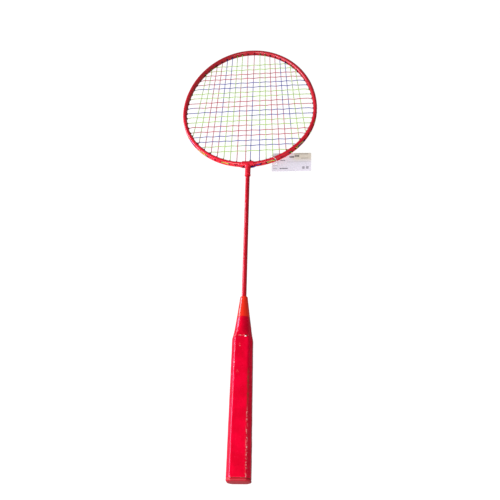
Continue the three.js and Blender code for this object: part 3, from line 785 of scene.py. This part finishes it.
def make_grip(vinyl):
    """The vinyl sleeve, open at both ends."""
    stations = np.linspace(SLEEVE_LOW[1], SLEEVE_HIGH[1], 330)
    inner = np.array([
        [(x, y, z) for x, z in grip_section(y, GRIP_WALL)] for y in stations[::-6]])
    rings = np.concatenate([grip_surface(stations), inner])
    grip = ring_piece("grip_wrap", rings, closed=True, sharp_degrees=70)
    wear_and_highlights, stain = grip_wear_and_highlights(rings)
    add_values(grip, "wear_and_highlights", wear_and_highlights.reshape(-1))
    add_values(grip, "stain", stain.reshape(-1))
    return fit_in(grip, "racket", "crimson_vinyl", vinyl, "grip_sleeve")


def make_butt(plastic):
    """The end cap: a domed octagonal plate with a peg into the wood."""
    rim = SLEEVE_LOW[1] - FIT
    profile = [
        (2.4, 0.0), (1.2, 0.1), (0.4, 0.5), (0.05, 1.1), (0.0, 1.8), (0.0, rim - 0.3),
        (0.25, rim)]
    rings = np.array([
        [(x, y, z) for x, z in grip_section(SLEEVE_LOW[1], inset)] for inset, y in profile])
    directions = rings[-1] * np.array([1.0, 0.0, 1.0])
    directions /= np.linalg.norm(directions, axis=1)[:, None]
    peg = [
        directions * radius + np.array([0, height, 0])
        for radius, height in (
            (BUTT_PEG_RADIUS, rim), (BUTT_PEG_RADIUS, CAP_HIGH[1] - 0.5),
            (BUTT_PEG_RADIUS - 0.5, CAP_HIGH[1]))]
    cap = ring_piece("butt_end", np.concatenate([rings, np.array(peg)]))
    return fit_in(cap, "racket", "cap_plastic", plastic, "butt_cap")


def make_tack(steel):
    """A small domed tack head on a pin."""
    centre = (TACK_LOW + TACK_HIGH) / 2
    head = (TACK_HIGH[0] - TACK_LOW[0]) / 2
    top = TACK_HIGH[2]
    seat = GRIP_HALF_THICKNESS + 0.05
    profile = [(0.01, top)]
    profile += [(head * math.sin(t), seat + (top - seat) * math.cos(t))
                for t in np.linspace(0.25, math.pi / 2, 9)]
    profile += [
        (head * 0.92, seat - 0.12), (TACK_PIN_RADIUS, seat - 0.12),
        (TACK_PIN_RADIUS, TACK_LOW[2] + 1.0), (0.01, TACK_LOW[2])]
    rings = np.array([
        [(centre[0] + r * math.cos(t), centre[1] + r * math.sin(t), z) for t in full_turn(32)]
        for r, z in profile])
    tack = ring_piece("tack_head", rings)
    return fit_in(tack, "racket", "tack_steel", steel, "grip_tack")


# ------ string holes

class Hole:
    """A string hole: a centre on the tube's centre line and an axis that points outward.

    Distances along the axis are from the centre. Only the two holes in the T-joint are tilted.
    """

    def __init__(self, angle, z, tilt=0.0):
        self.angle = angle
        self.z = z
        self.in_joint = tilt != 0
        self.centre = head_point(angle, 0, z)
        turn = np.array(Matrix.Rotation(tilt, 3, "Z"))
        self.axis = turn @ head_normal(angle)
        self.side = np.cross(self.axis, UP)
        skin_out = JOINT_SKIN if self.in_joint else GROOVE_FLOOR
        self.seat = skin_out + FIT
        self.inner_end = -TUBE_HALF_WIDTH - GROMMET_PROUD
        if self.in_joint:
            self.inner_end = -JOINT_SKIN - JOINT_GROMMET_PROUD["left" if tilt < 0 else "right"]
        self.loop_height = self.seat + FLANGE_THICKNESS + FIT + STRING_RADIUS

    def along(self, distance, sideways=0.0):
        return self.centre + self.axis * distance + self.side * sideways

    def mouth(self):
        return self.along(self.inner_end - MOUTH_SETBACK)


def main_hole(index, end):
    """The hole of a main string, counted from the left, at the near or the far end."""
    half = MAIN_COUNT // 2
    side = -1 if index < half else 1
    from_axis = half - 1 - index if index < half else index - half
    x = MAIN_FIRST_X[end]
    if from_axis:
        x = MAIN_SECOND_X[end] + MAIN_PITCH[end] * (from_axis - 1)
    right = math.acos(x / SEMI_X) * (1 if end == "far" else -1)
    tilt = side * JOINT_HOLE_TILT if end == "near" and from_axis == 0 else 0.0
    return Hole(math.pi - right if side < 0 else right, STAGGER, tilt)


def cross_hole(index, side):
    """The hole of a cross string, counted from the tip, on the left (-1) or the right (1)."""
    y = CROSS_FIRST_Y - CROSS_PITCH * index
    right = math.asin((y - WIDEST_Y) / (SEMI_NEAR if y < WIDEST_Y else SEMI_FAR))
    return Hole(math.pi - right if side < 0 else right, -STAGGER)


MAINS = [(main_hole(i, "near"), main_hole(i, "far")) for i in range(MAIN_COUNT)]
CROSSES = [(cross_hole(i, -1), cross_hole(i, 1)) for i in range(CROSS_COUNT)]


# ------ strings

ROW_YS = [left.mouth()[1] for left, right in CROSSES]


def main_x(index, y):
    """X of a main string where it passes a given y, or None outside its length."""
    near, far = (hole.mouth() for hole in MAINS[index])
    if not near[1] < y < far[1]:
        return None
    share = (y - near[1]) / (far[1] - near[1])
    return near[0] + (far[0] - near[0]) * share


def row_crossings(row):
    """The mains that a cross string meets, and where."""
    left, right = (hole.mouth()[0] for hole in CROSSES[row])
    found = [(i, main_x(i, ROW_YS[row])) for i in range(MAIN_COUNT)]
    return [(i, x) for i, x in found if x is not None and left + 1 < x < right - 1]


CROSSINGS = [row_crossings(row) for row in range(CROSS_COUNT)]
STRAY = chance.uniform(-0.25, 0.25, MAIN_COUNT + CROSS_COUNT)


def woven_row(holes, number, stray, height, crossing):
    """A row's first hole, its woven points and its last hole. Every second row runs back.

    crossing gives the number of the row that is crossed at a point, or a value between two.
    """
    first, last = holes if number % 2 == 0 else holes[::-1]
    start, end = first.mouth(), last.mouth()
    length = np.linalg.norm(end - start)
    side = np.cross(UP, (end - start) / length)
    points = []
    for share in np.linspace(0, 1, max(24, int(length / 1.25))):
        point = start + (end - start) * share
        point = point + side * stray * math.sin(math.pi * share)
        weave = height * math.cos(math.pi * (crossing(point) + number))
        hold = float(smoothstep(0.0, 5.0, length * min(share, 1 - share)))
        point[2] = point[2] * (1 - hold) + weave * hold
        points.append(point)
    return first, points, last


def main_row(index):
    """A main string, woven over and under the crosses."""
    rows = [row for row in range(CROSS_COUNT) if index in dict(CROSSINGS[row])]
    places = [-ROW_YS[row] for row in rows]
    return woven_row(MAINS[index], index, STRAY[index], WEAVE_HEIGHT,
                     lambda point: np.interp(-point[1], places, rows))


def cross_row(row):
    """A cross string, woven the other way round between the mains."""
    mains, places = zip(*CROSSINGS[row])
    return woven_row(CROSSES[row], row, STRAY[MAIN_COUNT + row], -WEAVE_HEIGHT,
                     lambda point: np.interp(point[0], places, mains))


def nearest_turn(start, end):
    """The end angle, less or more whole turns, so that it is nearest to the start."""
    return start + (end - start + math.pi) % (2 * math.pi) - math.pi


def outside_loop(start, end):
    """The string outside the frame, from one hole to the next, with round bends."""
    end_angle = nearest_turn(start.angle, end.angle)
    way = math.copysign(1.0, end_angle - start.angle)

    def corner(hole, sign):
        return [
            hole.along(hole.loop_height - LOOP_BEND + LOOP_BEND * math.sin(t),
                       sign * LOOP_BEND * (1 - math.cos(t)))
            for t in np.linspace(0, math.pi / 2, 6)]

    leave = corner(start, -way)
    arrive = corner(end, way)[::-1]
    joint = start if start.in_joint else end if end.in_joint else None
    plain = end if start.in_joint else start
    middle = []
    for share in np.linspace(0.12, 0.88, 9):
        angle = start.angle + (end_angle - start.angle) * share
        height = plain.loop_height - LOOP_DIP * math.sin(math.pi * share)
        if joint:
            past = abs(head_point(angle)[0]) - JOINT_HALF_WIDTH
            drop = float(smoothstep(0.6, 5.5, past))
            height = joint.loop_height * (1 - drop) + height * drop
        middle.append(head_point(angle, height, start.z))
    return leave + middle + arrive


def string_path(rows):
    """Every point of one string, end to end."""
    first = rows[0][0]
    path = [first.along(first.loop_height + STRING_TAIL), first.along(first.loop_height)]
    for i, (start, points, end) in enumerate(rows):
        path += points
        if i + 1 < len(rows):
            path += outside_loop(end, rows[i + 1][0])
    last = rows[-1][2]
    path += [last.along(last.loop_height), last.along(last.loop_height + STRING_TAIL)]
    return np.array(path)


def cord(name, path, radius, sides=10, closed=False):
    """A round cord along a path, with the distance along it stored on its points."""
    ahead = np.roll(path, -1, axis=0)
    behind = np.roll(path, 1, axis=0)
    tangents = ahead - behind
    if not closed:
        tangents[0] = path[1] - path[0]
        tangents[-1] = path[-1] - path[-2]
    tangents /= np.linalg.norm(tangents, axis=1)[:, None]
    side = np.cross(tangents[0], UP if abs(tangents[0][2]) < 0.9 else np.array([1.0, 0, 0]))
    rings = []
    for point, tangent in zip(path, tangents):
        side = side - tangent * (side @ tangent)
        side /= np.linalg.norm(side)
        other = np.cross(tangent, side)
        rings.append([
            point + radius * (side * math.cos(t) + other * math.sin(t))
            for t in full_turn(sides)])
    piece = ring_piece(name, rings, closed=closed, sharp_degrees=80)
    steps = np.linalg.norm(np.diff(path, axis=0), axis=1)
    along = np.concatenate([[0.0], np.cumsum(steps)])
    add_values(piece, "along", np.repeat(along, sides))
    return piece


def make_string(kind, rows, **lengths):
    """One cord through all its rows, dyed in lengths."""
    piece = cord(f"{kind}_strings", string_path(rows), STRING_RADIUS)
    dye = dyed_nylon(f"{kind}_dye", **lengths)
    return fit_in(piece, "racket", "string_nylon", dye, f"{kind}_string")


# ------ grommets

def grommet_rings(hole):
    """A moulded eyelet: a tapered barrel, a rounded inner end and a domed outer flange."""
    top = hole.seat + FLANGE_THICKNESS + FLANGE_DOME
    low = hole.inner_end
    profile = [
        (GROMMET_BORE, top - 0.25), (GROMMET_BORE + 0.22, top), (1.35, top + 0.02),
        (FLANGE_RADIUS - 0.08, top - 0.1), (FLANGE_RADIUS, top - 0.24),
        (FLANGE_RADIUS - 0.06, top - 0.5), (GROMMET_RADIUS, top - 0.8),
        (GROMMET_RADIUS, low + 1.1), (BEAD_RADIUS, low + 0.8), (BEAD_RADIUS, low + 0.3),
        (BEAD_RADIUS - 0.12, low + 0.08), (BEAD_RADIUS - 0.3, low),
        (GROMMET_BORE + 0.08, low), (GROMMET_BORE, low + 0.12)]
    return np.array([
        [hole.along(height, radius * math.cos(t)) + UP * radius * math.sin(t)
         for t in full_turn(20)]
        for radius, height in profile])


def make_grommets(nylon):
    """Every eyelet of one side as one piece."""
    holes = [hole for pair in MAINS + CROSSES for hole in pair]
    for side, sign in (("left", -1), ("right", 1)):
        points, faces = [], []
        for hole in holes:
            if sign * hole.centre[0] > 0:
                rings = grommet_rings(hole)
                faces += skin(rings, closed=True, first=sum(len(part) for part in points))
                points.append(rings.reshape(-1, 3))
        piece = make_piece(f"eyelets_{side}", np.concatenate(points), faces, 50)
        nodes = [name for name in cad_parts
                 if name.startswith(f"grommet_pair_{side}") or name == f"joint_grommet_{side}"]
        fit_in(piece, "racket", "black_nylon", nylon, *nodes)


# ------ price tag and loop

def loop_point(turn):
    """A point of the nylon loop's centre line, which stands round the head tube."""
    angle = -math.acos(LOOP_SITE_X / SEMI_X)
    across = np.array(Matrix.Rotation(LOOP_SKEW, 3, "Z")) @ head_normal(angle)
    out = power_wave(math.cos(turn), LOOP_ROUNDNESS)
    up = power_wave(math.sin(turn), LOOP_ROUNDNESS)
    point = head_point(angle) + across * (LOOP_CENTRE_OUT + LOOP_HALF_WIDTH * out)
    point[2] = LOOP_CENTRE_Z + LOOP_HALF_HEIGHT * up
    return point


def make_loop(nylon):
    """The loop that holds the tag."""
    path = np.array([loop_point(t) for t in full_turn(96)])
    loop = cord("nylon_loop", path, LOOP_RADIUS, 12, closed=True)
    return fit_in(loop, "loop", "clear_nylon", nylon, "tag_loop")


def ink_at(x, y):
    """The share of full ink at a place on the tag: broken bars, and no lettering."""
    for left, right, bottom, top, strength in TAG_BARS:
        if left < x < right and bottom < y < top:
            in_gap = (x - left) % BAR_BREAK > 0.75 * BAR_BREAK
            return strength * (0.45 if in_gap else 1.0)
    return 0.0


def rounded_card(local):
    """The card's grid points with those near its corners pulled onto an arc."""
    core = np.abs(local) - (np.array([TAG_WIDTH, TAG_HEIGHT]) / 2 - TAG_CORNER)
    beyond = np.all(core > 0, axis=1)
    reach = np.linalg.norm(np.maximum(core, 0), axis=1)
    square = np.max(np.maximum(core, 0), axis=1)
    shrink = np.where(beyond & (reach > 0), square / np.maximum(reach, 1e-9), 1.0)
    rounded = np.sign(local) * (np.abs(local) - np.maximum(core, 0) * (1 - shrink)[:, None])
    return np.where(beyond[:, None], rounded, local)


def punched_card(local, hole):
    """The points with those nearest the hole moved onto its edge, and which ones fall in it."""
    from_hole = local - hole
    distance = np.linalg.norm(from_hole, axis=1)
    dropped = distance < TAG_HOLE_RADIUS - TAG_STEP * 0.35
    on_rim = ~dropped & (distance < TAG_HOLE_RADIUS + TAG_STEP * 0.45)
    local[on_rim] = hole + from_hole[on_rim] * (TAG_HOLE_RADIUS / distance[on_rim])[:, None]
    return local, dropped


def make_tag(paper):
    """A thin card with rounded corners, a punched hole and a slight curl."""
    centre = (TAG_LOW + TAG_HIGH) / 2
    drop = abs(centre[2] - LOOP_CENTRE_Z) / LOOP_HALF_HEIGHT
    hole = loop_point(-math.asin(drop ** (LOOP_ROUNDNESS / 2)))
    turn = np.array(Matrix.Rotation(TAG_TURN, 3, "Z"))
    hole_local = turn.T @ (hole - centre)
    columns = int(TAG_WIDTH / TAG_STEP) + 1
    rows = int(TAG_HEIGHT / TAG_STEP) + 1
    xs, ys = np.meshgrid(
        np.linspace(-TAG_WIDTH / 2, TAG_WIDTH / 2, columns),
        np.linspace(-TAG_HEIGHT / 2, TAG_HEIGHT / 2, rows))
    local = np.stack([xs.ravel(), ys.ravel()], 1)
    ink = [ink_at(x, y) for x, y in local]
    warm = smoothstep(-4, 8, local[:, 0]) * smoothstep(-2, 8, local[:, 1])
    local, dropped = punched_card(rounded_card(local), hole_local[:2])
    grid = np.arange(rows * columns).reshape(rows, columns)
    quads = np.stack([grid[:-1, :-1], grid[:-1, 1:], grid[1:, 1:], grid[1:, :-1]], -1)
    quads = [quad for quad in quads.reshape(-1, 4).tolist() if not dropped[quad].any()]
    right = np.clip(local[:, 0] / (TAG_WIDTH / 2), 0, 1)
    lower = smoothstep(-TAG_HEIGHT / 2, TAG_HEIGHT / 2, -local[:, 1])
    curl = TAG_CURL * right ** 2 * lower * (0.4 + 0.6 * (local[:, 1] < 0))
    curled = np.column_stack([local, curl + TAG_RIPPLE * np.sin(local[:, 0] / 9)])
    tag = make_piece("price_card", (turn @ curled.T).T + centre, quads, 60)
    add_values(tag, "ink", ink)
    add_values(tag, "warm", warm)
    bpy.context.view_layer.update()
    thick = tag.modifiers.new("thickness", "SOLIDIFY")
    thick.thickness = TAG_THICKNESS * MM
    thick.offset = 0
    apply_modifiers(tag)
    tag.data.set_sharp_from_angle(angle=math.radians(50))
    return fit_in(tag, "tag", "tag_card", paper, "price_tag")


# ------ floor, light and camera

def make_floor():
    """A pale floor in line with the grip's corner and the head's tip, and clear from below.

    It lies a little under the racket, so that the tag can swing down without going through it.
    """
    rest_y, rest_z = GRIP_CORNER_Y, -GRIP_HALF_THICKNESS
    tip_y, tip_z = HEAD_HIGH[1], -TUBE_HALF_HEIGHT
    tilt = math.atan2(tip_z - rest_z, tip_y - rest_y)
    bpy.ops.mesh.primitive_plane_add(size=12)
    floor = bpy.context.object
    floor.name = "floor"
    floor.rotation_euler = (tilt, 0, 0)
    floor.location = (0, rest_y * MM, (rest_z - FLOOR_DROP) * MM)
    paint = Shader("floor_paint", roughness=0.9)
    rays = paint.node("ShaderNodeLightPath").outputs
    seen = rays["Is Camera Ray"]
    pale = paint.mix(paint.noise(300), FLOOR_DARK, FLOOR_PALE)
    pale = paint.mix(rays["Is Glossy Ray"], pale, FLOOR_MIRRORED)
    paint.finish("Base Color", paint.mix(seen, pale, FLOOR_SEEN))
    paint.finish("Emission Color", (1, 1, 1, 1))
    paint.finish("Emission Strength", paint.math("MULTIPLY", seen, FLOOR_GLOW))
    clear = paint.node("ShaderNodeBsdfTransparent").outputs["BSDF"]
    below = paint.node("ShaderNodeNewGeometry").outputs["Backfacing"]
    one_sided = paint.node(
        "ShaderNodeMixShader", {"Fac": below, 1: paint.surface.outputs["BSDF"], 2: clear})
    output = paint.tree.nodes["Material Output"]
    paint.join(one_sided.outputs["Shader"], output.inputs["Surface"])
    floor.data.materials.append(paint.material)


def add_area(name, place, size, power, colour=(1, 1, 1)):
    """A rectangular lamp that points at the racket's middle. Its place and size are in metres."""
    light = bpy.data.lights.new(name, "AREA")
    light.shape = "RECTANGLE"
    light.size, light.size_y = size
    light.energy = power
    light.color = colour
    lamp = bpy.data.objects.new(name, light)
    lamp.location = place
    lamp.rotation_euler = (SUBJECT - Vector(place)).to_track_quat("-Z", "Y").to_euler()
    bpy.context.scene.collection.objects.link(lamp)


def make_light():
    """Surroundings that look white but light little and reflect less, and three soft lamps."""
    world = bpy.data.worlds.new("studio")
    world.use_nodes = True
    nodes = world.node_tree.nodes
    link = world.node_tree.links.new
    background = nodes["Background"].inputs
    background["Color"].default_value = (1, 1, 1, 1)
    rays = nodes.new("ShaderNodeLightPath").outputs
    mirrored = nodes.new("ShaderNodeMapRange")
    mirrored.inputs["To Min"].default_value = WORLD_LIGHT
    mirrored.inputs["To Max"].default_value = WORLD_MIRRORED
    link(rays["Is Glossy Ray"], mirrored.inputs["Value"])
    strength = nodes.new("ShaderNodeMapRange")
    link(mirrored.outputs["Result"], strength.inputs["To Min"])
    link(rays["Is Camera Ray"], strength.inputs["Value"])
    link(strength.outputs["Result"], background["Strength"])
    bpy.context.scene.world = world
    add_area("key_left", (-0.5, -0.4, 0.62), (0.5, 0.6), 8.5)
    add_area("window_left", (-0.85, 0.4, 0.16), (1.2, 0.28), 12, (1.0, 0.8, 0.98))
    add_area("fill_right", (0.42, -0.45, 0.95), (0.6, 0.6), 5.4)
    bpy.context.scene.view_settings.view_transform = "Standard"


def make_camera():
    """A camera above the handle, turned about Z, X and Z again."""
    data = bpy.data.cameras.new("camera")
    data.sensor_width = 36
    data.lens = CAMERA_FOCAL_PIXELS / FRAME_PIXELS * data.sensor_width
    data.clip_start = 0.01
    camera = bpy.data.objects.new("camera", data)
    turn = (Matrix.Rotation(math.radians(CAMERA_YAW), 4, "Z")
            @ Matrix.Rotation(math.radians(CAMERA_TILT), 4, "X")
            @ Matrix.Rotation(math.radians(CAMERA_ROLL), 4, "Z"))
    camera.matrix_world = Matrix.Translation(Vector(CAMERA_PLACE) * MM) @ turn
    bpy.context.scene.collection.objects.link(camera)
    bpy.context.scene.camera = camera


# ------ assembly

enamel = red_enamel("red_enamel", srgb(234, 38, 58), srgb(218, 30, 50))
make_head_tube(enamel)
make_t_joint(enamel)
# The shaft's enamel is a darker copy of the head's, as painted shade.
make_shaft(red_enamel("shaft_enamel_shaded", srgb(204, 26, 44), srgb(188, 18, 36)))
make_cone(orange_cone_plastic())
make_grip(crimson_vinyl())
make_butt(cap_plastic())
make_tack(bright_tack_steel())
main_rows = [main_row(i) for i in range(MAIN_COUNT)]
cross_rows = [cross_row(i) for i in range(CROSS_COUNT)]
make_string("main", main_rows, first_red=337, red=491, blue=287, lime=492)
make_string("cross", cross_rows, first_red=296, red=399, blue=347, lime=438)
make_grommets(black_nylon())
make_tag(tag_paper())
make_loop(loop_nylon())
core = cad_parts["handle_core"]
core.data.materials.clear()
core.data.materials.append(bare_wood())

make_floor()
make_light()
make_camera()
